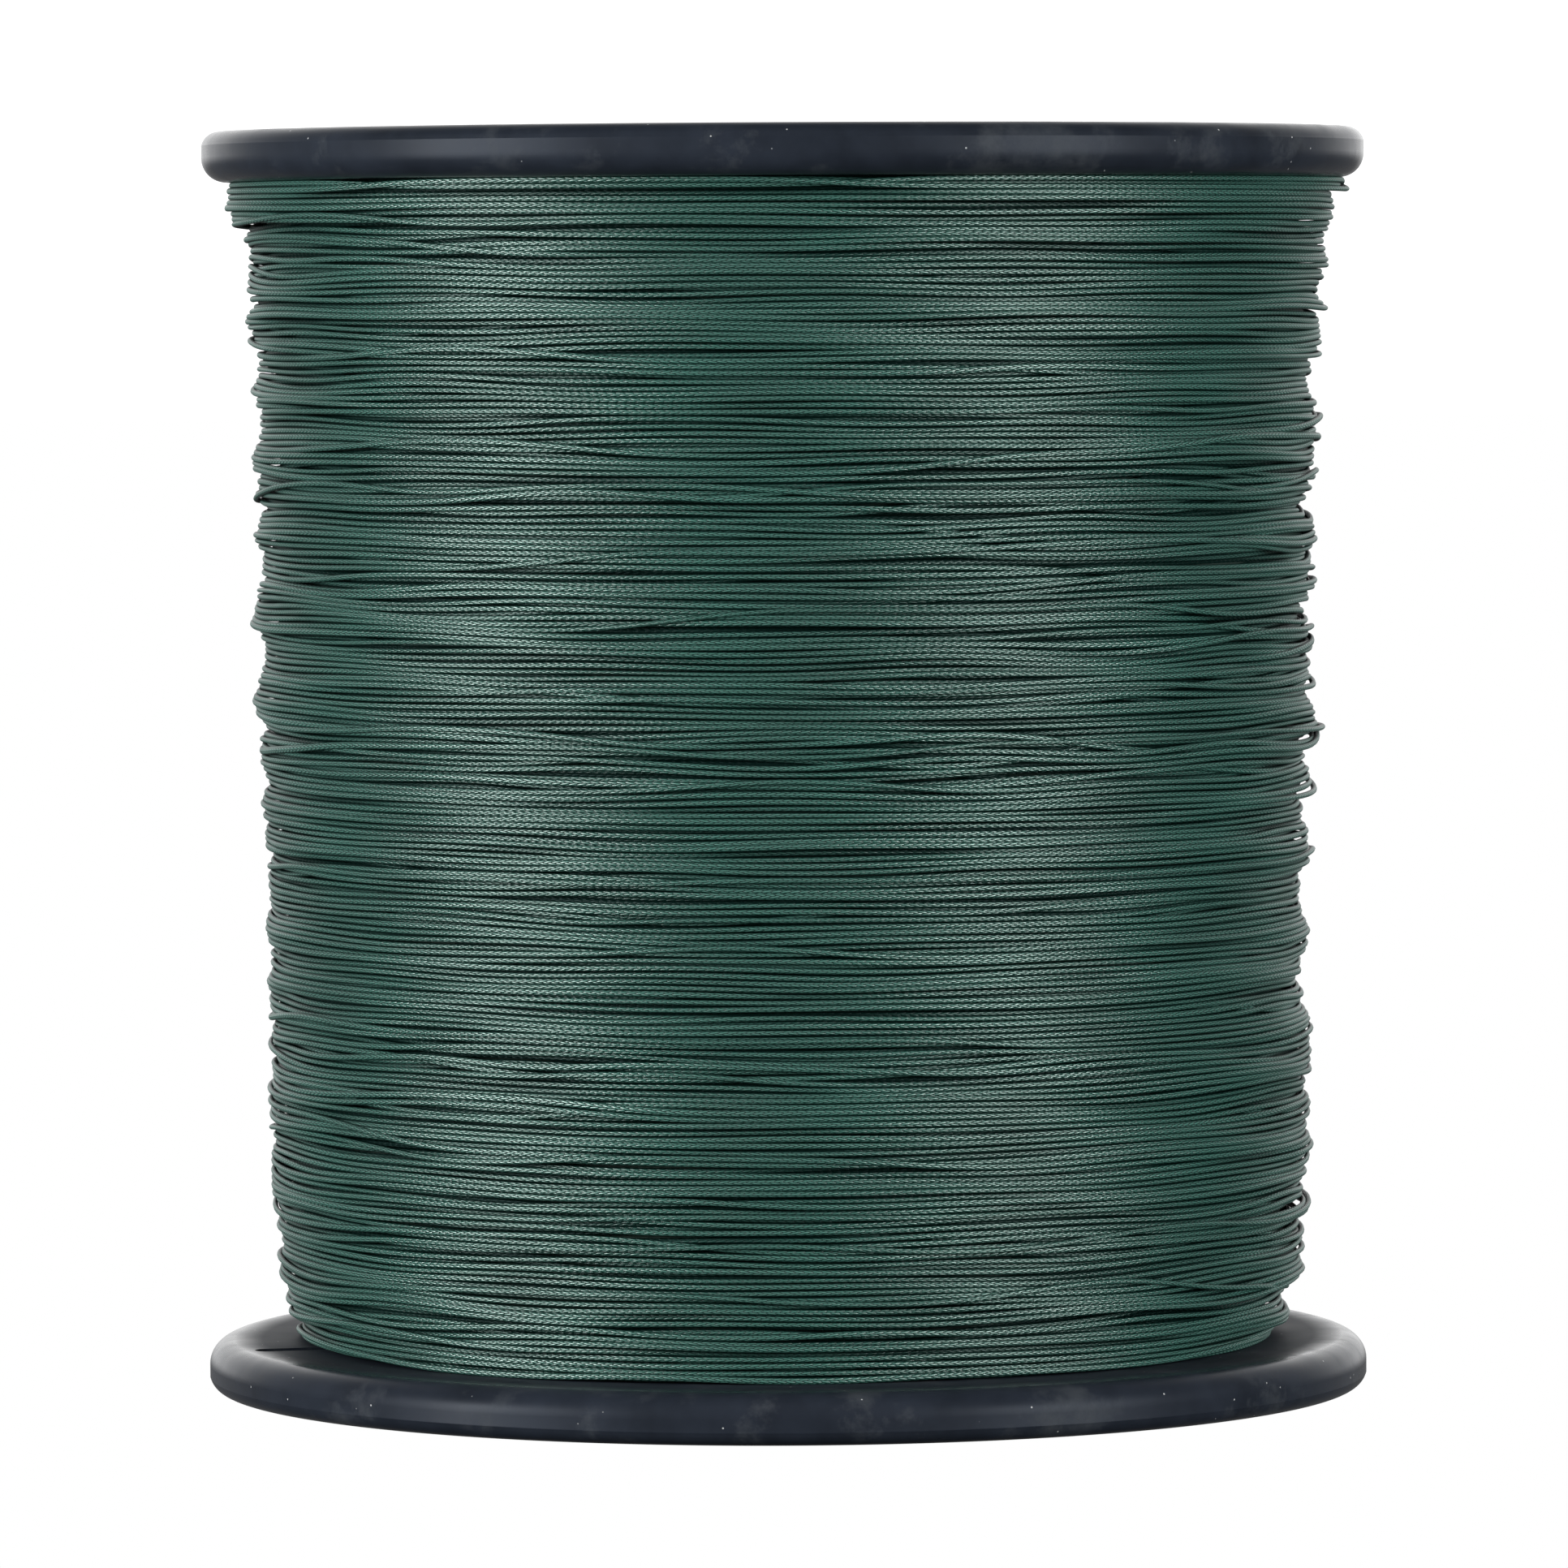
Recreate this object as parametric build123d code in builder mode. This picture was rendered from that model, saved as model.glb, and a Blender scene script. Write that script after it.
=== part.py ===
"""Bulk spool of braided fishing line.

The empty spool is four mouldings: two identical end flanges, the barrel tube
between them and an arbor tube that lines the spindle hole. A strip of tape holds
the start of the line on the barrel, the line is wound over it, and each flange
carries a blank label in the well round its hub.

Millimetres. +Z runs up the spool's axis, and the origin is at the middle of the
face that the spool stands on.
"""

import math
import os

from build123d import *

os.makedirs("parts", exist_ok=True)

# Overall size
spool_height = 130.1
flange_radius = 60.0

# Flange: a rounded rim round a thin web, with the web level with the inner face
rim_height = 5.2
rim_wall = 3.0
web_thickness = 2.4
outer_corner = 1.3
inner_corner = 2.5
parting_width = 0.12
parting_depth = 0.04
edge_round = 0.4

# Hub and arbor
bore_radius = 8.1
arbor_wall = 1.9
hub_lip = 2.0
hub_radius = 13.0
socket_wall = 2.0
socket_depth = 14.0

# Barrel, and the spigot of each flange that sits inside it
barrel_radius = 31.0
barrel_wall = 2.2
spigot_wall = 1.8
spigot_depth = 10.0

# Ribs
rib_thickness = 1.6
outer_rib_count = 12
outer_rib_height = 2.0
inner_rib_count = 6
inner_rib_height = 8.0
label_ring_wall = 1.5

# Slot in the web that takes the start of the line
slot_angle = -165.0
slot_width = 2.6
slot_inner_end = 33.5
slot_outer_end = 56.6

# Tape and labels
tape_thickness = 0.15
tape_width = 19.0
tape_length = 60.0
tape_gap = 2.0
label_thickness = 0.15
label_gap = 0.5

# Outer radius of the wound line at fractions of the height between the flanges
wound_outline = [
    (0.00, 52.2),
    (0.10, 53.3),
    (0.42, 53.5),
    (0.55, 54.6),
    (0.82, 54.5),
    (0.92, 55.7),
    (1.00, 57.2),
]

# Worked out from the sizes above
recess_depth = rim_height - web_thickness
recess_radius = flange_radius - rim_wall
arbor_radius = bore_radius + arbor_wall
socket_radius = arbor_radius + socket_wall
barrel_bore = barrel_radius - barrel_wall
spigot_bore = barrel_bore - spigot_wall
label_ring_inner = barrel_radius - label_ring_wall
flange_gap = spool_height - 2 * rim_height
tape_angle = math.degrees(tape_length / barrel_radius)
rib_bite = 0.5


# Lower flange
with BuildPart() as lower_flange:
    with BuildSketch(Plane.XZ) as flange_section:
        with BuildLine() as flange_outline:
            parting_low = (flange_radius, outer_corner)
            parting_root = (flange_radius - parting_depth, outer_corner + parting_width / 2)
            parting_high = (flange_radius, outer_corner + parting_width)
            land_top = (flange_radius, rim_height - inner_corner)
            RadiusArc(
                (flange_radius - outer_corner, 0),
                parting_low,
                -outer_corner,
            )
            Polyline(parting_low, parting_root, parting_high, land_top)
            RadiusArc(
                land_top,
                (flange_radius - inner_corner, rim_height),
                -inner_corner,
            )
            Polyline(
                (flange_radius - inner_corner, rim_height),
                (barrel_bore, rim_height),
                (barrel_bore, rim_height + spigot_depth),
                (spigot_bore, rim_height + spigot_depth),
                (spigot_bore, rim_height),
                (socket_radius, rim_height),
                (socket_radius, rim_height + socket_depth),
                (arbor_radius, rim_height + socket_depth),
                (arbor_radius, hub_lip),
                (bore_radius, hub_lip),
                (bore_radius, 0),
                (hub_radius, 0),
                (hub_radius, recess_depth),
                (recess_radius, recess_depth),
                (recess_radius, 0),
                (flange_radius - outer_corner, 0),
            )
        make_face()
    revolve(axis=Axis.Z)

    # Ring round the label well, and the ribs from it out to the rim
    with BuildSketch(Plane.XY.offset(recess_depth - outer_rib_height)) as outer_ribs:
        Circle(barrel_radius)
        Circle(label_ring_inner, mode=Mode.SUBTRACT)
        rib_length = recess_radius + rib_bite - barrel_radius + rib_bite
        with PolarLocations(barrel_radius - rib_bite + rib_length / 2, outer_rib_count):
            Rectangle(rib_length, rib_thickness)
    extrude(amount=outer_rib_height + rib_bite)

    # Ribs between the arbor socket and the spigot, inside the barrel
    with BuildSketch(Plane.XY.offset(rim_height - rib_bite)) as inner_ribs:
        inner_rib_length = spigot_bore - socket_radius + 2 * rib_bite
        with PolarLocations((spigot_bore + socket_radius) / 2, inner_rib_count):
            Rectangle(inner_rib_length, rib_thickness)
    extrude(amount=inner_rib_height + rib_bite)

    # Radial slot through the web
    with BuildSketch(Plane.XY) as slot_outline:
        slot_length = slot_outer_end - slot_inner_end
        with PolarLocations(
            slot_inner_end + slot_length / 2, 1, start_angle=slot_angle
        ):
            SlotOverall(slot_length, slot_width)
    extrude(amount=rim_height, mode=Mode.SUBTRACT)

    # Soft edges where a hand meets the outer face
    hand_edges = (
        lower_flange.edges()
        .filter_by(GeomType.CIRCLE)
        .filter_by_position(Axis.Z, -0.01, 0.01)
        .filter_by(lambda edge: edge.radius in (hub_radius, recess_radius, bore_radius))
    )
    fillet(hand_edges, edge_round)
lower_flange.part.label = "lower_flange"
export_step(lower_flange.part, "parts/lower_flange.step")


# Upper flange: the same moulding, turned over
with BuildPart() as upper_flange:
    mirror(lower_flange.part, about=Plane.XY.offset(spool_height / 2))
upper_flange.part.label = "upper_flange"
export_step(upper_flange.part, "parts/upper_flange.step")


# Barrel tube that the line is wound on
with BuildPart() as barrel_tube:
    with BuildSketch(Plane.XY.offset(rim_height)) as barrel_ring:
        Circle(barrel_radius)
        Circle(barrel_bore, mode=Mode.SUBTRACT)
    extrude(amount=flange_gap)
barrel_tube.part.label = "barrel_tube"
export_step(barrel_tube.part, "parts/barrel_tube.step")


# Arbor tube that lines the spindle hole, held between the two hub lips
with BuildPart() as arbor_tube:
    with BuildSketch(Plane.XY.offset(hub_lip)) as arbor_ring:
        Circle(arbor_radius)
        Circle(bore_radius, mode=Mode.SUBTRACT)
    extrude(amount=spool_height - 2 * hub_lip)
arbor_tube.part.label = "arbor_tube"
export_step(arbor_tube.part, "parts/arbor_tube.step")


# Tape over the start of the line, stuck round the barrel beside the slot
with BuildPart() as anchor_tape:
    with BuildSketch(Plane.XY.offset(rim_height + tape_gap)) as tape_strip:
        with BuildLine() as tape_outline:
            tape_start = slot_angle - tape_angle / 2
            inner_arc = CenterArc((0, 0), barrel_radius, tape_start, tape_angle)
            outer_arc = CenterArc(
                (0, 0), barrel_radius + tape_thickness, tape_start, tape_angle
            )
            Line(inner_arc @ 0, outer_arc @ 0)
            Line(inner_arc @ 1, outer_arc @ 1)
        make_face()
    extrude(amount=tape_width)
anchor_tape.part.label = "anchor_tape"
export_step(anchor_tape.part, "parts/anchor_tape.step")


# Wound line: the outer shape of the whole winding, fuller towards the upper flange
with BuildPart() as wound_line:
    with BuildSketch(Plane.XZ) as wound_section:
        with BuildLine() as wound_outline_lines:
            outline_points = [
                (radius, rim_height + fraction * flange_gap)
                for fraction, radius in wound_outline
            ]
            wound_side = Spline(*outline_points)
            Polyline(
                wound_side @ 1,
                (barrel_radius, spool_height - rim_height),
                (barrel_radius, rim_height),
                wound_side @ 0,
            )
        make_face()
    revolve(axis=Axis.Z)
    add(anchor_tape.part, mode=Mode.SUBTRACT)
wound_line.part.label = "wound_line"
export_step(wound_line.part, "parts/wound_line.step")


# Blank labels in the wells of both flanges
label_inner = hub_radius + label_gap
label_outer = label_ring_inner - label_gap
with BuildPart() as lower_label:
    with BuildSketch(Plane.XY.offset(recess_depth)) as label_ring:
        Circle(label_outer)
        Circle(label_inner, mode=Mode.SUBTRACT)
    extrude(amount=-label_thickness)
lower_label.part.label = "lower_label"
export_step(lower_label.part, "parts/lower_label.step")

with BuildPart() as upper_label:
    mirror(lower_label.part, about=Plane.XY.offset(spool_height / 2))
upper_label.part.label = "upper_label"
export_step(upper_label.part, "parts/upper_label.step")
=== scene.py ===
"""Looks of the fishing line spool: the wound braid turn by turn, and the materials of every part."""

import math

import bpy
import numpy as np
from mathutils import Euler, Matrix, Vector


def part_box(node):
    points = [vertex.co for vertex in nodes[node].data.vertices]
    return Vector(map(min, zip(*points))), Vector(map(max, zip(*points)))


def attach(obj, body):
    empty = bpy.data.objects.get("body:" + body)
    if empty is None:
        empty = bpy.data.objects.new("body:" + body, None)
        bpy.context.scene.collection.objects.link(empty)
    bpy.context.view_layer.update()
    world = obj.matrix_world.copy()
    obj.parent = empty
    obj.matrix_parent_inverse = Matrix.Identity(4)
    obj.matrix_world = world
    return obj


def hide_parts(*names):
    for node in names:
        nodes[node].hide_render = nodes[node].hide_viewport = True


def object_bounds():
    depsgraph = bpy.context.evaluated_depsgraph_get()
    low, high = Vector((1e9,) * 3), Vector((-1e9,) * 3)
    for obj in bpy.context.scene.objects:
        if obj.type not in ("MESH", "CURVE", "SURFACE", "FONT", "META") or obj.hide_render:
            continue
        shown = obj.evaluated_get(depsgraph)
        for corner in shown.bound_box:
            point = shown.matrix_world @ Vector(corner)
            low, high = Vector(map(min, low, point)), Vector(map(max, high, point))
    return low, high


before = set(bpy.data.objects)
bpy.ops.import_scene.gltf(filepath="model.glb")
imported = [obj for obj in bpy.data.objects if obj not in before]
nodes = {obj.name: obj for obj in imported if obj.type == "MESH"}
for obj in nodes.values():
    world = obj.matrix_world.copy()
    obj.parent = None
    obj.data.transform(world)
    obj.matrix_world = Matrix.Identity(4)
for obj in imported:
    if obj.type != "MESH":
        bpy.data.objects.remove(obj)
cad_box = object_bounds()

MM = 0.001
rng = np.random.default_rng(20)

# Driving sizes, in millimetres. Heights along the spool come from the frame.
line_radius = 0.31
braid_pitch = 0.885
layer_count = 6
turns_per_layer = 195
samples_per_turn = 144
ring_degrees = [0, 34, 66, 98, 180, 262, 294, 326]
grid_cell = 0.05
end_taper = 0.2
end_sink = 0.35
core_depth = 1.7
core_gap = 0.1
core_segments = 160
most_samples = 11_500

# How the winder lays it: millimetres and turns
layer_rise = 0.83
build_unevenness = 0.08
feed_unevenness = 0.16
fast_wander = 0.09
slow_wander = 0.20
top_dwell = 1.009
flange_room = 4.0
crossover_count = 64
crossover_ramp = 0.15
crossover_turns = (0.1, 0.7)
crossover_jumps = (0.7, 1.9)
quiet_turns = 6
groove_pull = 0.10
turning_cost = 0.0016
sharpest_turn = 4
first_turn_cost = 0.2
samples_to_join = 14
squash = 0.03
bridge_sag = 0.08

# Flange: places that the frame's boxes don't give
hub_radius = 13.0
hub_lip = 2.0
arbor_wall = 1.9
socket_radii = (10.0, 12.0)
socket_top = 19.2
ring_radii = (29.5, 31.0)
ring_low = 0.8
spigot_radii = (27.0, 28.8)
spigot_depth = 10.0
web_floor = 2.8
rim_wall = 3.0
edge_round = 0.4
outer_round = 1.83
inner_round = 2.5
rim_draft = 15
seam_height = 1.36
seam_step = 0.04
seam_depth = 0.02
shading_guard = 0.06
flange_segments = 288
sharp_angle = math.radians(28)
rib_thickness = 1.6
outer_rib_count = 12
outer_rib_height = 2.0
inner_rib_count = 6
inner_rib_height = 8.0
rib_bite = 0.5
slot_angle = math.radians(-165)
slot_ends = (33.5, 56.6)
slot_width = 2.6

# Outer radius of the wound line at fractions of the height between the flanges
wound_outline = [
    (0.000, 49.2),
    (0.015, 50.4),
    (0.030, 51.5),
    (0.055, 52.0),
    (0.085, 52.6),
    (0.120, 53.0),
    (0.440, 53.0),
    (0.500, 53.7),
    (0.830, 53.8),
    (0.900, 54.7),
    (0.940, 54.9),
    (0.965, 55.0),
    (0.985, 55.1),
    (1.000, 55.4),
]

low_corner, high_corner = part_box("wound_line")
wound_bottom = low_corner[2] / MM
wound_top = high_corner[2] / MM
wound_height = wound_top - wound_bottom
spool_height = cad_box[1][2] / MM
flange_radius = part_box("lower_flange")[1][0] / MM
bore_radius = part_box("arbor_tube")[1][0] / MM - arbor_wall
rim_height = wound_bottom


# ------------------------------------------------------------ laying the line


def wave_noise(position, angle, waves, wave_lengths, most_lobes=3):
    """Sum of random waves over height or turn number, periodic in angle. About -1 to 1."""
    total = 0.0
    for _ in range(waves):
        wave_length = rng.uniform(*wave_lengths)
        lobes = rng.integers(-most_lobes, most_lobes + 1)
        phase = rng.uniform(0, 2 * math.pi)
        total = total + np.cos(2 * math.pi * position / wave_length + lobes * angle + phase)
    return total / math.sqrt(waves)


def soften(values, spread):
    """Gaussian blur along a 1-D array, with its ends held."""
    reach = int(3 * spread) + 1
    offsets = np.arange(-reach, reach + 1)
    weights = np.exp(-0.5 * (offsets / spread) ** 2)
    padded = np.pad(values, reach, mode="edge")
    return np.convolve(padded, weights / weights.sum(), "valid")


def smooth_step(value):
    """Eased step from 0 to 1."""
    value = np.clip(value, 0, 1)
    return value * value * (3 - 2 * value)


tube_sides = len(ring_degrees)
footprint = int(round(line_radius / grid_cell))
cap_offsets = np.arange(-footprint, footprint + 1) * grid_cell
cap_height = np.sqrt(np.maximum(line_radius**2 - cap_offsets**2, 0))
rows = np.arange(samples_per_turn)

# A turn may leave the guide by this many grid cells. The wall is higher than any line can climb.
sway = 12
margin = footprint + sway + 2
grid_cells = int(round(wound_height / grid_cell))
wall = 1000.0
shifts = np.arange(-sway, sway + 1)
pull = groove_pull * (shifts * grid_cell) ** 2
turn_steps = shifts[:, None] - shifts[None, :]
turning = np.where(abs(turn_steps) <= sharpest_turn, turning_cost * turn_steps**2, wall)


def cells_near(heights, reach):
    """Grid cells within a reach of each height, one row of cells for each."""
    middle = np.floor(heights / grid_cell).astype(int) + margin
    return middle[:, None] + np.arange(-reach, reach + 1)


def first_surface():
    """Radius of the winding below the modelled layers, by angle and height, walled in by the flanges."""
    heights = (np.arange(grid_cells) + 0.5) * grid_cell
    fractions, radii = zip(*wound_outline)
    radius = soften(np.interp(heights / wound_height, fractions, radii), 1.5 / grid_cell)
    angle = np.linspace(0, 2 * math.pi, samples_per_turn, endpoint=False)[:, None]
    surface = np.full((samples_per_turn, grid_cells + 2 * margin), wall)
    bulges = build_unevenness * wave_noise(heights[None, :], angle, 14, (2.4, 5.0))
    swell = build_unevenness * wave_noise(heights[None, :], angle, 6, (8.0, 25.0))
    surface[:, margin:-margin] = radius - layer_rise * layer_count + bulges + swell
    return surface


def guide_heights():
    """Height that the winder feeds the line at, sample by sample: up one layer and down the next."""
    turn_total = layer_count * turns_per_layer
    turn = np.arange(turn_total * samples_per_turn) / samples_per_turn
    rate = np.exp(feed_unevenness * wave_noise(turn, 0.0, 24, (1.3, 9.0)))
    height = np.empty_like(turn)
    samples_per_layer = turns_per_layer * samples_per_turn
    low = line_radius
    span = wound_height - 2 * line_radius
    for layer in range(layer_count):
        part = slice(layer * samples_per_layer, (layer + 1) * samples_per_layer)
        travel = np.cumsum(rate[part])
        travel = travel / travel[-1]
        climb = travel if layer % 2 == 0 else 1 - travel
        height[part] = low + span * np.minimum(climb * top_dwell, 1)
    shift = fast_wander * wave_noise(turn, 0.0, 16, (0.25, 1.2))
    shift += slow_wander * wave_noise(0.6 * turn, 2 * math.pi * turn, 24, (3.5, 12.0), 10)
    for start, length, jump in crossovers(turn_total):
        leaving = smooth_step((turn - start) / crossover_ramp)
        returning = smooth_step((turn - start - length) / crossover_ramp)
        shift += jump * (leaving - returning)
    room = np.minimum(height - low, low + span - height)
    return np.clip(height + shift * smooth_step(room / flange_room), low, low + span)


def crossovers(turn_total):
    """Places where the line jumps over its neighbours and comes back: start turn, turns, jump in mm."""
    found = []
    first = turn_total - 2 * turns_per_layer
    for _ in range(crossover_count):
        start = rng.uniform(first, turn_total - quiet_turns)
        length = rng.uniform(*crossover_turns)
        jump = rng.choice([-1, 1]) * rng.uniform(*crossover_jumps)
        found.append((start, length, jump))
    return found


def nearest_groove(rest, last_shift):
    """Easiest path of shifts through one turn: low on the surface, near the guide, without sharp turns."""
    cost = first_turn_cost * (shifts - last_shift) ** 2.0
    choices = np.empty((samples_per_turn, len(shifts)), dtype=int)
    for i in range(samples_per_turn):
        total = turning + cost[None, :]
        choices[i] = total.argmin(axis=1)
        cost = total.min(axis=1) + rest[i] + pull
    pick = int(cost.argmin())
    path = np.empty(samples_per_turn)
    for i in range(samples_per_turn - 1, -1, -1):
        path[i] = shifts[pick]
        pick = choices[i, pick]
    return path


def resting_radius(under):
    """Radius of a taut turn over these surface radii: on the peaks, sagging a little between them."""
    support = (under + cap_height).max(axis=1)
    beside = np.pad(support, 1, mode="edge")
    peak = np.maximum.reduce([beside[:-2], support, beside[2:]])
    return np.minimum(soften(peak, 1.4), soften(peak, 6.0) + bridge_sag) - squash


def lay_line():
    """Lays the line on the surface below it, one turn at a time, in the nearest groove.

    Returns the height and radius of the line's middle at every sample, and the surface left.
    """
    surface = first_surface()
    guide = guide_heights()
    heights = np.empty_like(guide)
    radii = np.empty_like(guide)
    join = smooth_step(1 - rows / samples_to_join)
    last_shift = 0
    for turn in range(len(guide) // samples_per_turn):
        part = slice(turn * samples_per_turn, (turn + 1) * samples_per_turn)
        around = surface[rows[:, None], cells_near(guide[part], sway + footprint)]
        under = np.lib.stride_tricks.sliding_window_view(around, 2 * footprint + 1, axis=1)
        shift = nearest_groove((under + cap_height).max(axis=2), last_shift)
        last_shift = int(shift[-1])
        height = guide[part] + soften(shift * grid_cell, 2.0)
        height = np.clip(height, line_radius, wound_height - line_radius)
        cells = cells_near(height, footprint)
        radius = resting_radius(surface[rows[:, None], cells])

        # Where one turn runs on into the next, the lower of the two is lifted to the other
        if turn:
            jump = radius[0] - radii[part.start - 1]
            if jump < 0:
                radius -= jump * join
            else:
                radii[part.start - samples_per_turn : part.start] += jump * join[::-1]
        surface[rows[:, None], cells] = np.maximum(
            surface[rows[:, None], cells], radius[:, None] + cap_height
        )
        heights[part] = height
        radii[part] = radius
    return soften(heights, 1.0), soften(radii, 1.0), surface


def average_face(surface):
    """Radius of the winding's face by angle and height, averaged over a few turns."""
    return np.stack([soften(row, 0.7 / grid_cell) for row in surface[:, margin:-margin]])


def visible_runs(heights, radii, surface):
    """First and last sample of every stretch of line that shows from outside."""
    row = np.arange(len(heights)) % samples_per_turn
    clear = radii[:, None] + cap_height - surface[row[:, None], cells_near(heights, footprint)]
    shows = (clear > -squash).sum(axis=1) >= 2
    spare = 4
    shows = np.convolve(shows, np.ones(2 * spare + 1), "same") > 0
    edges = np.flatnonzero(np.diff(np.concatenate([[False], shows, [False]]).astype(int)))
    return list(zip(edges[::2], edges[1::2]))


# -------------------------------------------------------------------- meshes


def strand_rings(heights, radii, first, last):
    """Ring points (samples, sides, 3) of the line from one sample to another, tucked in at both ends."""
    index = np.arange(first, last)
    angle = 2 * math.pi * index / samples_per_turn
    outward = np.stack([np.cos(angle), np.sin(angle), np.zeros_like(angle)], axis=1)
    middle = outward * radii[first:last, None]
    middle[:, 2] = heights[first:last] + wound_bottom
    along = np.gradient(middle, axis=0)
    along /= np.linalg.norm(along, axis=1)[:, None]
    across = np.cross(along, outward)
    across /= np.linalg.norm(across, axis=1)[:, None]
    outward = np.cross(across, along)
    flatness = 1 + 0.10 * line_flatness[first:last, None, None]
    side = np.radians(ring_degrees)
    thickness = np.full((last - first, 1, 1), line_radius)
    thickness[[0, -1]] *= end_taper
    middle[[0, -1]] -= end_sink * outward[[0, -1]]
    return middle[:, None, :] + thickness * (
        np.cos(side)[None, :, None] * outward[:, None, :] / flatness
        + np.sin(side)[None, :, None] * across[:, None, :] * flatness
    )


def ring_depths(rings, first, last):
    """How far each ring point lies below the line's own crown and below its neighbours, in mm. The braid
    material paints shade by these numbers: painted shade on the flanks, in the gaps and on sunken turns.
    """
    row = np.arange(first, last)[:, None] % samples_per_turn
    cell = np.floor((rings[..., 2] - wound_bottom) / grid_cell).astype(int)
    face = line_face[row, np.clip(cell, 0, grid_cells - 1)]
    sunk = np.clip(face - np.hypot(rings[..., 0], rings[..., 1]), -0.1, 1.0)
    own = line_radius * (1 - np.cos(np.radians(ring_degrees)))
    return own + 0.34 * sunk


def braid_uvs(first, last, spacing):
    """UV of each face's corners: distance along the line, and turn round the line with its twist."""
    start = np.arange(first, last - 1)[:, None] * spacing % (1000 * braid_pitch)
    twist = line_twist[first : last - 1, None]
    next_twist = line_twist[first + 1 : last, None]
    turn_low = np.array(ring_degrees) / 360
    turn_high = np.array(ring_degrees[1:] + [360]) / 360
    uv = np.empty((last - first - 1, tube_sides, 4, 2))
    uv[..., 0, 0] = uv[..., 1, 0] = start
    uv[..., 2, 0] = uv[..., 3, 0] = start + spacing
    uv[..., 0, 1] = turn_low + twist
    uv[..., 1, 1] = turn_high + twist
    uv[..., 2, 1] = turn_high + next_twist
    uv[..., 3, 1] = turn_low + next_twist
    return uv.reshape(-1, 2)


def strand_mesh(name, heights, radii, runs):
    """One mesh of all these stretches of line."""
    points, depths, quads, quad_uvs, caps = [], [], [], [], []
    offset = 0
    spacing = 2 * math.pi * np.mean(radii) / samples_per_turn
    for first, last in runs:
        rings = strand_rings(heights, radii, first, last)
        count = last - first
        ring = np.arange(count - 1)[:, None] * tube_sides
        side = np.arange(tube_sides)[None, :]
        near = (side + 1) % tube_sides
        corners = np.stack(
            [ring + side, ring + near, ring + near + tube_sides, ring + side + tube_sides],
            axis=2,
        )
        quads.append((corners + offset).reshape(-1, 4))
        quad_uvs.append(braid_uvs(first, last, spacing))
        ends = np.arange(tube_sides)
        caps.append(offset + ends)
        caps.append(offset + (count - 1) * tube_sides + ends[::-1])
        points.append(rings.reshape(-1, 3) * MM)
        depths.append(ring_depths(rings, first, last).reshape(-1))
        offset += count * tube_sides
    piece = build_mesh(name, np.concatenate(points), np.concatenate(quads), caps, quad_uvs)
    # How far each point lies below its crown and neighbours, kept on the mesh for the braid's painted
    # shade.
    painted_shade_depth = piece.data.attributes.new("painted_shade_depth", "FLOAT", "POINT")
    painted_shade_depth.data.foreach_set("value", np.concatenate(depths))
    return piece


def build_mesh(name, points, quads, caps=(), quad_uvs=()):
    """A smooth-shaded object from quads and a few end faces."""
    mesh = bpy.data.meshes.new(name)
    cap_loops = np.concatenate(caps) if len(caps) else np.empty(0, dtype=int)
    loops = np.concatenate([quads.reshape(-1), cap_loops])
    sizes = np.concatenate([np.full(len(quads), 4), [len(cap) for cap in caps]]).astype(int)
    mesh.vertices.add(len(points))
    mesh.vertices.foreach_set("co", points.reshape(-1))
    mesh.loops.add(len(loops))
    mesh.loops.foreach_set("vertex_index", loops)
    mesh.polygons.add(len(sizes))
    mesh.polygons.foreach_set("loop_start", np.cumsum(sizes) - sizes)
    mesh.polygons.foreach_set("use_smooth", np.ones(len(sizes), dtype=bool))
    if len(quad_uvs):
        uv_map = mesh.uv_layers.new(name="braid")
        uv = np.zeros((len(loops), 2))
        laid = np.concatenate(quad_uvs)
        uv[: len(laid)] = laid
        uv_map.uv.foreach_set("vector", uv.reshape(-1))
    mesh.update(calc_edges=True)
    mesh.validate()
    piece = bpy.data.objects.new(name, mesh)
    bpy.context.scene.collection.objects.link(piece)
    return piece


def lathe(name, outline, segments, material):
    """A closed ring from an outline of (radius, height) points in mm."""
    angle = 2 * math.pi * np.arange(segments) / segments
    ring = np.array(outline) * MM
    count = len(ring)
    points = np.stack(
        [
            ring[None, :, 0] * np.cos(angle)[:, None],
            ring[None, :, 0] * np.sin(angle)[:, None],
            np.repeat(ring[None, :, 1], segments, axis=0),
        ],
        axis=2,
    ).reshape(-1, 3)
    i = np.arange(segments)[:, None] * count
    k = np.arange(count)[None, :]
    j = (np.arange(segments)[:, None] + 1) % segments * count
    quads = np.stack([i + k, j + k, j + (k + 1) % count, i + (k + 1) % count], axis=2)
    quads = quads.reshape(-1, 4)
    piece = build_mesh(name, points, quads)
    piece.data.materials.append(material)
    return piece


# ------------------------------------------------------------------ materials


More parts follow.
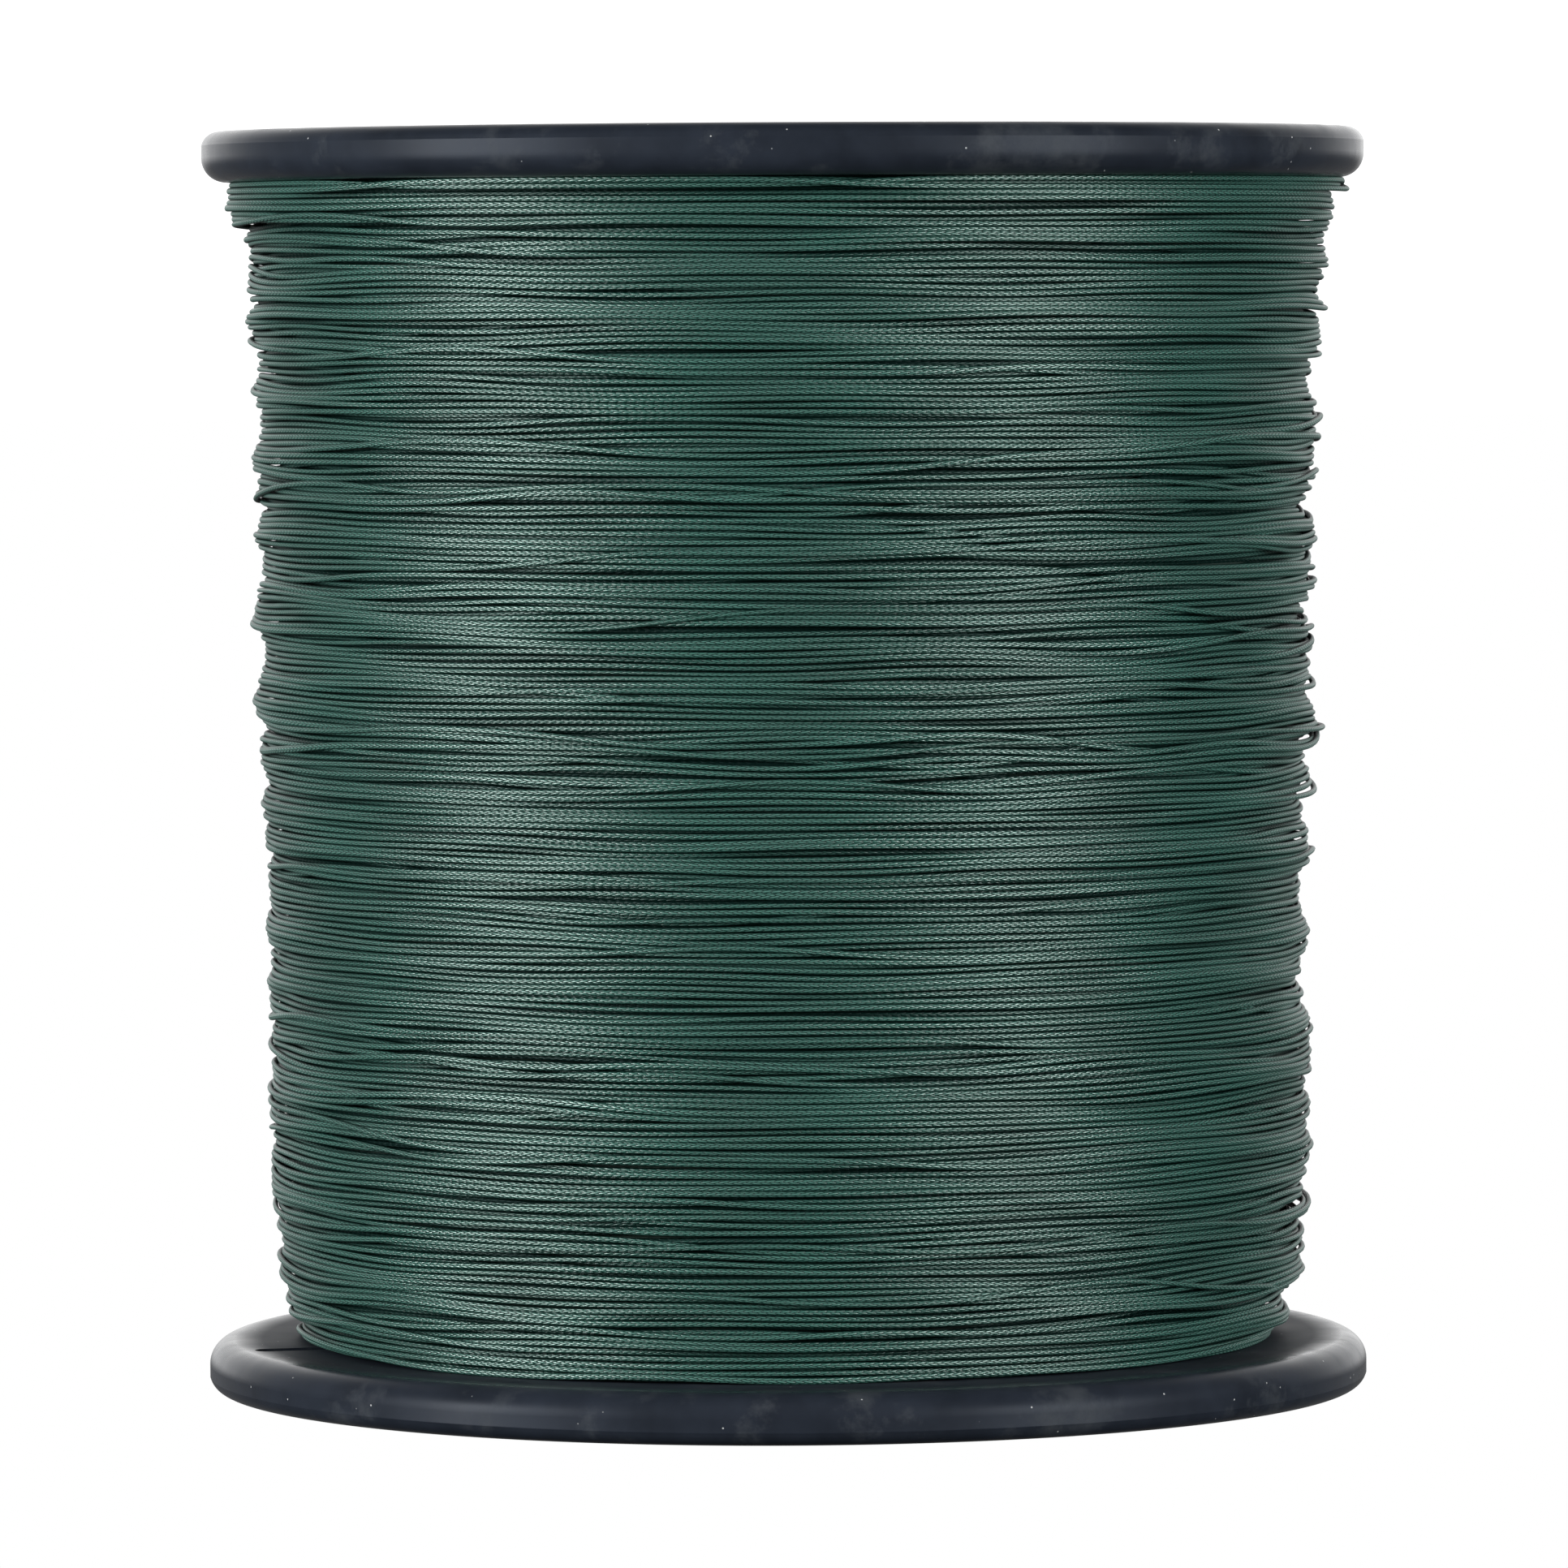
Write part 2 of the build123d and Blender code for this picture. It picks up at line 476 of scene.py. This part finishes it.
class Graph:
    """Short forms for the nodes of one material."""

    def __init__(self, name):
        self.material = bpy.data.materials.new(name)
        self.material.use_nodes = True
        self.tree = self.material.node_tree
        self.shader = self.tree.nodes["Principled BSDF"]

    def node(self, kind, **settings):
        node = self.tree.nodes.new(kind)
        for key, value in settings.items():
            setattr(node, key, value)
        return node

    def link(self, source, target):
        self.tree.links.new(source, target)

    def math(self, operation, *values):
        node = self.node("ShaderNodeMath", operation=operation)
        for socket, value in zip(node.inputs, values):
            if isinstance(value, (int, float)):
                socket.default_value = value
            else:
                self.link(value, socket)
        return node.outputs[0]

    def noise(self, scale, detail=2.0, roughness=0.5, vector=None):
        node = self.node("ShaderNodeTexNoise")
        node.inputs["Scale"].default_value = scale
        node.inputs["Detail"].default_value = detail
        node.inputs["Roughness"].default_value = roughness
        self.link(vector or self.place(), node.inputs["Vector"])
        return node.outputs["Fac"]

    def place(self):
        """The point on the object, in metres, in the row frame."""
        return self.node("ShaderNodeTexCoord").outputs["Object"]

    def remap(self, value, low, high, to_low, to_high):
        node = self.node("ShaderNodeMapRange")
        self.link(value, node.inputs["Value"])
        for name, number in zip(
            ("From Min", "From Max", "To Min", "To Max"), (low, high, to_low, to_high)
        ):
            node.inputs[name].default_value = number
        return node.outputs["Result"]

    def mix(self, factor, first, second):
        node = self.node("ShaderNodeMix", data_type="RGBA")
        self.link(factor, node.inputs["Factor"])
        for socket, colour in ((node.inputs["A"], first), (node.inputs["B"], second)):
            if isinstance(colour, tuple):
                socket.default_value = (*colour, 1)
            else:
                self.link(colour, socket)
        return node.outputs["Result"]

    def bump(self, height, strength, distance, normal=None):
        node = self.node("ShaderNodeBump")
        node.inputs["Strength"].default_value = strength
        node.inputs["Distance"].default_value = distance
        self.link(height, node.inputs["Height"])
        if normal:
            self.link(normal, node.inputs["Normal"])
        return node.outputs["Normal"]

    def set(self, **values):
        """Plain values on the shader's own sockets. An underscore in a name stands for a space."""
        for name, value in values.items():
            self.shader.inputs[name.replace("_", " ")].default_value = value


def braid_material():
    """Eight yarns plaited over and under each other, four each way, in waxy dark green. Its colour and
    specular tint carry painted shade: darker in the creases where yarns cross, on the line's flanks and on
    turns sunk below their neighbours.
    """
    g = Graph("braid")
    uv = g.node("ShaderNodeUVMap", uv_map="braid")
    split = g.node("ShaderNodeSeparateXYZ")
    g.link(uv.outputs["UV"], split.inputs[0])
    along = g.math("DIVIDE", split.outputs["X"], braid_pitch)
    round_line = g.math("MULTIPLY", split.outputs["Y"], 4.0)
    right = g.math("SUBTRACT", round_line, along)
    left = g.math("ADD", round_line, along)
    over = g.math("COSINE", g.math("MULTIPLY", round_line, 2 * math.pi))
    right_yarn = yarn_height(g, right)
    left_yarn = yarn_height(g, left)
    right_height = g.math("MULTIPLY_ADD", over, 0.5, right_yarn)
    left_height = g.math("MULTIPLY_ADD", over, -0.5, left_yarn)
    weave = g.math("MAXIMUM", right_height, left_height)
    g.link(g.bump(weave, 1.0, 0.07 * MM), g.shader.inputs["Normal"])

    # Painted shade: the colour goes dark where a point lies below its strand's crown or below its
    # neighbours.
    painted_shade_depth = g.node("ShaderNodeAttribute", attribute_name="painted_shade_depth").outputs["Fac"]
    shade = g.remap(painted_shade_depth, 0.22, 0.03, 0.0, 1.0)
    # Painted shade in the creases between yarns, where they meet and where one dips under the other.
    step = g.math("ABSOLUTE", g.math("SUBTRACT", right_height, left_height))
    crown = g.remap(g.math("MULTIPLY", g.remap(step, 0.0, 0.8, 0.1, 1.0), weave), 0.25, 1.2, 0, 1)
    # Both painted shades together: 1 keeps the dye, 0 is full painted shade.
    painted_light_level = g.math("MULTIPLY", crown, shade)
    drift = g.noise(90, 3)
    dye = g.mix(g.remap(drift, 0.3, 0.7, 0, 1), (0.0143, 0.066, 0.0515), (0.0215, 0.091, 0.0715))
    # The base colour runs from a near-black painted shade up to the dye.
    g.link(g.mix(painted_light_level, (0.0012, 0.008, 0.0065), dye), g.shader.inputs["Base Color"])
    # The specular tint dims with the same painted shade, a painted darkening of the reflection in creases
    # and gaps.
    g.link(g.mix(painted_light_level, (0.05, 0.07, 0.07), (0.90, 1.0, 0.95)), g.shader.inputs["Specular Tint"])
    g.link(g.remap(drift, 0.3, 0.7, 0.45, 0.39), g.shader.inputs["Roughness"])
    g.set(Specular_IOR_Level=1.0, IOR=1.58)
    return g.material


def yarn_height(g, across):
    """Rounded section of the yarns that lie at whole numbers of this coordinate, with fibres in them."""
    off_centre = g.math("PINGPONG", across, 0.5)
    section = g.math("MULTIPLY_ADD", g.math("MULTIPLY", off_centre, off_centre), -4.0, 1.0)
    fibres = g.math("SINE", g.math("MULTIPLY", across, 2 * math.pi * 7))
    return g.math("MULTIPLY_ADD", fibres, 0.015, section)


def core_line_material():
    """The layers of line below the ones that show, coloured far darker than the line's dye as painted deep
    shade.
    """
    g = Graph("buried_line_painted_shade")
    split = g.node("ShaderNodeSeparateXYZ")
    g.link(g.place(), split.inputs[0])
    ridges = g.math("SINE", g.math("MULTIPLY", split.outputs["Z"], 2 * math.pi / (0.7 * MM)))
    g.link(g.bump(ridges, 1.0, 0.2 * MM), g.shader.inputs["Normal"])
    drift = g.noise(300, 3)
    # Painted shade: greens several times darker than the wound line's dye.
    g.link(g.mix(drift, (0.003, 0.012, 0.009), (0.008, 0.030, 0.022)), g.shader.inputs["Base Color"])
    g.set(Roughness=0.7)
    return g.material


def black_plastic(name, base, facing_rough, grazing_rough):
    """Satin black moulding: soft ripple, handling scuffs and specks of dust.

    It is glossier where it is seen edge on, and duller inside the rim, where no hand polishes it.
    """
    g = Graph(name)
    ripple = g.noise(45, 2)
    cloud = g.noise(160, 4, 0.6)
    scuffs = g.remap(g.noise(120, 6, 0.7), 0.54, 0.68, 0, 1)
    tint = g.mix(g.remap(cloud, 0.3, 0.7, 0, 1), base, tuple(1.7 * c for c in base))
    scuffed = g.mix(g.math("MULTIPLY", scuffs, 0.5), tint, (0.040, 0.045, 0.050))
    specks = g.node("ShaderNodeTexVoronoi")
    specks.inputs["Scale"].default_value = 460
    g.link(g.place(), specks.inputs["Vector"])
    dust = g.remap(specks.outputs["Distance"], 0.054, 0.032, 0, 1)
    dust = g.math("MULTIPLY", dust, g.remap(g.noise(70, 2), 0.38, 0.44, 0, 1))
    g.link(g.mix(dust, scuffed, (0.30, 0.31, 0.31)), g.shader.inputs["Base Color"])
    edge_on = g.node("ShaderNodeLayerWeight")
    edge_on.inputs["Blend"].default_value = 0.5
    rough = g.remap(edge_on.outputs["Facing"], 0.55, 0.95, facing_rough, grazing_rough)
    rough = g.math("ADD", rough, g.remap(cloud, 0.3, 0.7, -0.03, 0.05))
    rim_inside = (flange_radius - 2.5) * MM
    web_outside = (flange_radius - 5.5) * MM
    rough = g.math("ADD", rough, g.remap(from_axis(g), rim_inside, web_outside, 0.0, 0.40))
    g.link(g.math("MULTIPLY_ADD", scuffs, 0.08, rough), g.shader.inputs["Roughness"])
    soft = g.bump(ripple, 0.25, 0.3 * MM)
    g.link(g.bump(g.noise(2500, 2), 0.12, 0.02 * MM, soft), g.shader.inputs["Normal"])
    g.set(Specular_IOR_Level=0.3, Specular_Tint=(0.17, 0.19, 0.22, 1))
    return g.material


def from_axis(g):
    """Distance from the spool's axis, in metres."""
    flat = g.node("ShaderNodeVectorMath", operation="MULTIPLY")
    flat.inputs[1].default_value = (1, 1, 0)
    g.link(g.place(), flat.inputs[0])
    length = g.node("ShaderNodeVectorMath", operation="LENGTH")
    g.link(flat.outputs["Vector"], length.inputs[0])
    return length.outputs["Value"]


def label_material():
    """Blank coated paper, very slightly mottled."""
    g = Graph("label_paper")
    mottle = g.noise(220, 5, 0.65)
    paper = g.mix(g.remap(mottle, 0.3, 0.7, 0, 1), (0.60, 0.62, 0.61), (0.70, 0.71, 0.69))
    g.link(paper, g.shader.inputs["Base Color"])
    g.link(g.bump(g.noise(1800, 3), 0.2, 0.03 * MM), g.shader.inputs["Normal"])
    g.link(g.remap(mottle, 0.3, 0.7, 0.42, 0.55), g.shader.inputs["Roughness"])
    return g.material


def tape_material():
    """Creped masking tape."""
    g = Graph("tape")
    stretch = g.node("ShaderNodeMapping")
    stretch.inputs["Scale"].default_value = (1, 1, 0.15)
    g.link(g.place(), stretch.inputs["Vector"])
    crepe = g.noise(3000, 3, 0.6, stretch.outputs["Vector"])
    g.link(g.mix(crepe, (0.60, 0.52, 0.36), (0.78, 0.72, 0.55)), g.shader.inputs["Base Color"])
    g.link(g.bump(crepe, 0.5, 0.05 * MM), g.shader.inputs["Normal"])
    g.set(Roughness=0.75)
    return g.material


def floor_material():
    """Burnt-out white, as a lit sweep looks."""
    g = Graph("floor")
    g.set(Base_Color=(0, 0, 0, 1), Specular_IOR_Level=0.0)
    g.set(Emission_Color=(1, 1, 1, 1), Emission_Strength=1.0)
    return g.material


def dress(node, material):
    """Gives a carried-over part one material."""
    slots = nodes[node].data.materials
    if not slots:
        slots.append(material)
    for i in range(len(slots)):
        slots[i] = material


# --------------------------------------------------------------- wound line

line_heights, line_radii, line_surface = lay_line()
line_face = average_face(line_surface)
sample_count = len(line_heights)
line_turn = np.arange(sample_count) / samples_per_turn
line_flatness = wave_noise(line_turn, 0.0, 12, (0.15, 1.5))
line_twist = 0.35 * wave_noise(line_turn, 0.0, 10, (0.2, 2.0))

runs = visible_runs(line_heights, line_radii, line_surface)
line_material = braid_material()
group, groups, held = [], [], 0
for run in runs:
    if held + run[1] - run[0] > most_samples and group:
        groups.append(group)
        group, held = [], 0
    group.append(run)
    held += run[1] - run[0]
groups.append(group)
for number, group in enumerate(groups, start=1):
    piece = strand_mesh(f"line_turns_{number}", line_heights, line_radii, group)
    piece.data.materials.append(line_material)
    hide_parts("wound_line")
    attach(piece, "root")

barrel_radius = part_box("barrel_tube")[1][0] / MM
core_inside = barrel_radius + 2 * core_gap
core_bottom = wound_bottom + core_gap
core_height = wound_height - 2 * core_gap
core_outline = [(core_inside, core_bottom)]
core_outline += [
    (radius - core_depth, core_bottom + fraction * core_height) for fraction, radius in wound_outline
]
core_outline += [(core_inside, wound_top - core_gap)]
core = lathe("line_core", core_outline, core_segments, core_line_material())
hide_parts("wound_line")
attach(core, "root")

# ------------------------------------------------------------------ flanges


def corner(centre, radius, start, end):
    """Points of a rounded corner, from one angle to another in degrees, with a close point each side."""
    steps = 3 + int(radius * 4)
    angles = np.radians(np.linspace(start, end, steps + 1))
    points = [(centre[0] + radius * math.cos(a), centre[1] + radius * math.sin(a)) for a in angles]
    guard = shading_guard * math.copysign(1, end - start)
    first, last = angles[0], angles[-1]
    before = (points[0][0] + guard * math.sin(first), points[0][1] - guard * math.cos(first))
    after = (points[-1][0] - guard * math.sin(last), points[-1][1] + guard * math.cos(last))
    return [before, *points, after]


def rim_outside():
    """Section of the rim's outer face: a round and a drafted wall, the seam's small step, a round."""
    draft = math.radians(rim_draft)
    low_middle = (
        flange_radius - seam_depth - outer_round * math.cos(draft),
        seam_height + outer_round * math.sin(draft),
    )
    seam_top = seam_height + seam_step
    outline = corner(low_middle, outer_round, 270, 360 - rim_draft)[:-1]
    outline += [(flange_radius, seam_top), (flange_radius, seam_top + shading_guard)]
    outline += corner((flange_radius - inner_round, rim_height - inner_round), inner_round, 0, 90)
    return outline


def flange_outline():
    """Section of the lower flange, anticlockwise from the bore."""
    recess_radius = flange_radius - rim_wall
    ring_inner, ring_outer = ring_radii
    spigot_inner, spigot_outer = spigot_radii
    spigot_top = rim_height + spigot_depth
    socket_inner, socket_outer = socket_radii
    outline = corner((bore_radius + edge_round, edge_round), edge_round, 180, 270)
    outline += corner((hub_radius - edge_round, edge_round), edge_round, 270, 360)
    outline += [(hub_radius, web_floor), (ring_inner, web_floor)]
    outline += [(ring_inner, ring_low), (ring_outer, ring_low)]
    outline += [(ring_outer, web_floor), (recess_radius, web_floor)]
    outline += corner((recess_radius + edge_round, edge_round), edge_round, 180, 270)
    outline += rim_outside()
    outline += [(spigot_outer, rim_height), (spigot_outer, spigot_top)]
    outline += [(spigot_inner, spigot_top), (spigot_inner, rim_height)]
    outline += [(socket_outer, rim_height), (socket_outer, socket_top)]
    outline += [(socket_inner, socket_top), (socket_inner, hub_lip), (bore_radius, hub_lip)]
    return outline


def prism_faces(count):
    """Faces of a closed prism whose points are its first end and then its second end."""
    sides = [(i, (i + 1) % count, (i + 1) % count + count, i + count) for i in range(count)]
    return [tuple(range(count))[::-1], *sides, tuple(range(count, 2 * count))]


def prisms_object(name, parts):
    """One object of several closed prisms, each given as its points."""
    points, faces = [], []
    for part in parts:
        faces += [tuple(i + len(points) for i in face) for face in prism_faces(len(part) // 2)]
        points += part
    mesh = bpy.data.meshes.new(name)
    mesh.from_pydata([point * MM for point in points], [], faces)
    made = bpy.data.objects.new(name, mesh)
    bpy.context.scene.collection.objects.link(made)
    return made


def spoke(angle, start, end, section):
    """Points of a prism along a radius of the spool, from a section of (across, up) points."""
    turn = Matrix.Rotation(angle, 4, "Z")
    return [turn @ Vector((radius, *point)) for radius in (start, end) for point in section]


def outer_rib(angle):
    """A rib of the recess, with softened lower edges."""
    half = rib_thickness / 2
    soft = 0.3
    low = web_floor - outer_rib_height
    high = web_floor + 0.4
    section = [(soft - half, low), (half - soft, low), (half, low + soft), (half, high)]
    section += [(-half, high), (-half, low + soft)]
    return spoke(angle, ring_radii[1] - rib_bite, flange_radius - rim_wall + rib_bite, section)


def inner_rib(angle):
    """A rib inside the barrel."""
    half = rib_thickness / 2
    low = rim_height - rib_bite
    high = rim_height + inner_rib_height
    section = [(-half, low), (half, low), (half, high), (-half, high)]
    return spoke(angle, socket_radii[1] - rib_bite, spigot_radii[0] + rib_bite, section)


def slot_cutter():
    """The line slot as a prism with round ends, through the web."""
    half = slot_width / 2
    ends = np.radians(np.linspace(-90, 90, 13))
    outline = [(slot_ends[1] - half + half * math.cos(a), half * math.sin(a)) for a in ends]
    outline += [(slot_ends[0] + half - half * math.cos(a), -half * math.sin(a)) for a in ends]
    turn = Matrix.Rotation(slot_angle, 4, "Z")
    below, above = web_floor - 1.8, rim_height + 1.8
    return [turn @ Vector((*point, height)) for height in (below, above) for point in outline]


def combine(piece, other, operation):
    """Boolean of two objects. The second one is used up."""
    step = piece.modifiers.new(operation, "BOOLEAN")
    step.operation = operation
    step.solver = "EXACT"
    step.object = other
    depsgraph = bpy.context.evaluated_depsgraph_get()
    result = bpy.data.meshes.new_from_object(piece.evaluated_get(depsgraph))
    piece.modifiers.clear()
    piece.data = result
    bpy.data.objects.remove(other)


def flange_piece(name, node, plastic):
    """A flange as one lathed ring with its ribs joined on and its slot cut out."""
    piece = lathe(name, flange_outline(), flange_segments, plastic)
    ribs = [outer_rib(2 * math.pi * i / outer_rib_count) for i in range(outer_rib_count)]
    ribs += [inner_rib(2 * math.pi * i / inner_rib_count) for i in range(inner_rib_count)]
    combine(piece, prisms_object("ribs", ribs), "UNION")
    combine(piece, prisms_object("slot", [slot_cutter()]), "DIFFERENCE")
    if node == "upper_flange":
        mirror = Matrix.Scale(-1, 4, (0, 0, 1))
        piece.data.transform(Matrix.Translation((0, 0, spool_height * MM)) @ mirror)
        piece.data.flip_normals()
    piece.data.polygons.foreach_set("use_smooth", np.ones(len(piece.data.polygons), dtype=bool))
    piece.data.set_sharp_from_angle(angle=sharp_angle)
    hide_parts(node)
    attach(piece, "root")


flange_plastic = black_plastic("flange_plastic", (0.0075, 0.0095, 0.0135), 0.42, 0.20)
flange_piece("flange_low", "lower_flange", flange_plastic)
flange_piece("flange_high", "upper_flange", flange_plastic)

# ------------------------------------------------------- carried-over parts

tube_plastic = black_plastic("tube_plastic", (0.011, 0.012, 0.014), 0.45, 0.30)
for node in ("barrel_tube", "arbor_tube"):
    dress(node, tube_plastic)
label_paper = label_material()
for node in ("lower_label", "upper_label"):
    dress(node, label_paper)
dress("anchor_tape", tape_material())

# --------------------------------------------------------- floor and lights

floor_reach = 3.0
floor_mesh = bpy.data.meshes.new("floor")
floor_corners = [(floor_reach * x, floor_reach * y, 0) for x, y in ((-1, -1), (1, -1), (1, 1), (-1, 1))]
floor_mesh.from_pydata(floor_corners, [], [(0, 1, 2, 3)])
floor = bpy.data.objects.new("floor", floor_mesh)
floor.data.materials.append(floor_material())
bpy.context.scene.collection.objects.link(floor)
floor.visible_diffuse = False
floor.visible_glossy = False

spool_middle = Vector((0, 0, spool_height * MM / 2))


def softbox(name, azimuth, elevation, distance, width, height, power):
    """A soft rectangular lamp aimed at the spool. Azimuth 0 is on the camera's side."""
    turn = math.radians(azimuth)
    rise = math.radians(elevation)
    lamp = bpy.data.lights.new(name, "AREA")
    lamp.shape = "RECTANGLE"
    lamp.size = width
    lamp.size_y = height
    lamp.energy = power
    holder = bpy.data.objects.new(name, lamp)
    aim = Vector((math.sin(turn) * math.cos(rise), -math.cos(turn) * math.cos(rise), math.sin(rise)))
    holder.location = spool_middle + distance * aim
    holder.rotation_euler = aim.to_track_quat("Z", "Y").to_euler()
    bpy.context.scene.collection.objects.link(holder)


softbox("left_softbox", azimuth=-60, elevation=3, distance=0.9, width=0.32, height=0.6, power=22.5)
softbox("right_softbox", azimuth=52, elevation=3, distance=0.9, width=0.30, height=0.6, power=17.4)
softbox("front_softbox", azimuth=-6, elevation=6, distance=1.0, width=0.5, height=0.5, power=0.3)
softbox("top_softbox", azimuth=0, elevation=50, distance=1.0, width=1.1, height=0.6, power=1.4)


def eased_ramp(tree, value, low, high, to_low, to_high):
    """A smooth ramp of one value in the world's nodes."""
    ramp = tree.nodes.new("ShaderNodeMapRange")
    ramp.interpolation_type = "SMOOTHSTEP"
    ramp.inputs["From Min"].default_value = low
    ramp.inputs["From Max"].default_value = high
    ramp.inputs["To Min"].default_value = to_low
    ramp.inputs["To Max"].default_value = to_high
    tree.links.new(value, ramp.inputs["Value"])
    return ramp.outputs["Result"]


def world_math(tree, operation, first, second):
    """A math node of two values in the world's nodes."""
    node = tree.nodes.new("ShaderNodeMath")
    node.operation = operation
    tree.links.new(first, node.inputs[0])
    tree.links.new(second, node.inputs[1])
    return node.outputs[0]


def studio_world():
    """White seen directly. As a light it is a white backdrop behind the spool and a dim room in front."""
    world = bpy.data.worlds.new("studio")
    bpy.context.scene.world = world
    world.use_nodes = True
    tree = world.node_tree
    direction = tree.nodes.new("ShaderNodeTexCoord")
    split = tree.nodes.new("ShaderNodeSeparateXYZ")
    tree.links.new(direction.outputs["Generated"], split.inputs[0])
    backdrop = eased_ramp(tree, split.outputs["Y"], 0.45, 0.85, 0.05, 1.5)
    above_floor = eased_ramp(tree, split.outputs["Z"], -0.12, 0.06, 0.1, 1.0)
    light = world_math(tree, "MULTIPLY", backdrop, above_floor)
    seen = tree.nodes.new("ShaderNodeLightPath").outputs["Is Camera Ray"]
    background = tree.nodes["Background"]
    background.inputs["Color"].default_value = (1, 1, 1, 1)
    tree.links.new(world_math(tree, "MAXIMUM", light, seen), background.inputs["Strength"])


studio_world()
bpy.context.scene.view_settings.view_transform = "Standard"

# ------------------------------------------------------------------- camera

camera_place = (-0.00015, -1.0923, 0.1158)
camera_pitch = math.radians(2.80)
camera_roll = math.radians(-0.286)
camera_lens = 242.2
camera_data = bpy.data.cameras.new("camera")
camera_data.lens = camera_lens
camera_data.sensor_width = 36
camera = bpy.data.objects.new("camera", camera_data)
camera.location = camera_place
aim = Euler((math.pi / 2 - camera_pitch, 0, 0)).to_matrix() @ Matrix.Rotation(camera_roll, 3, "Z")
camera.rotation_euler = aim.to_euler()
bpy.context.scene.collection.objects.link(camera)
bpy.context.scene.camera = camera
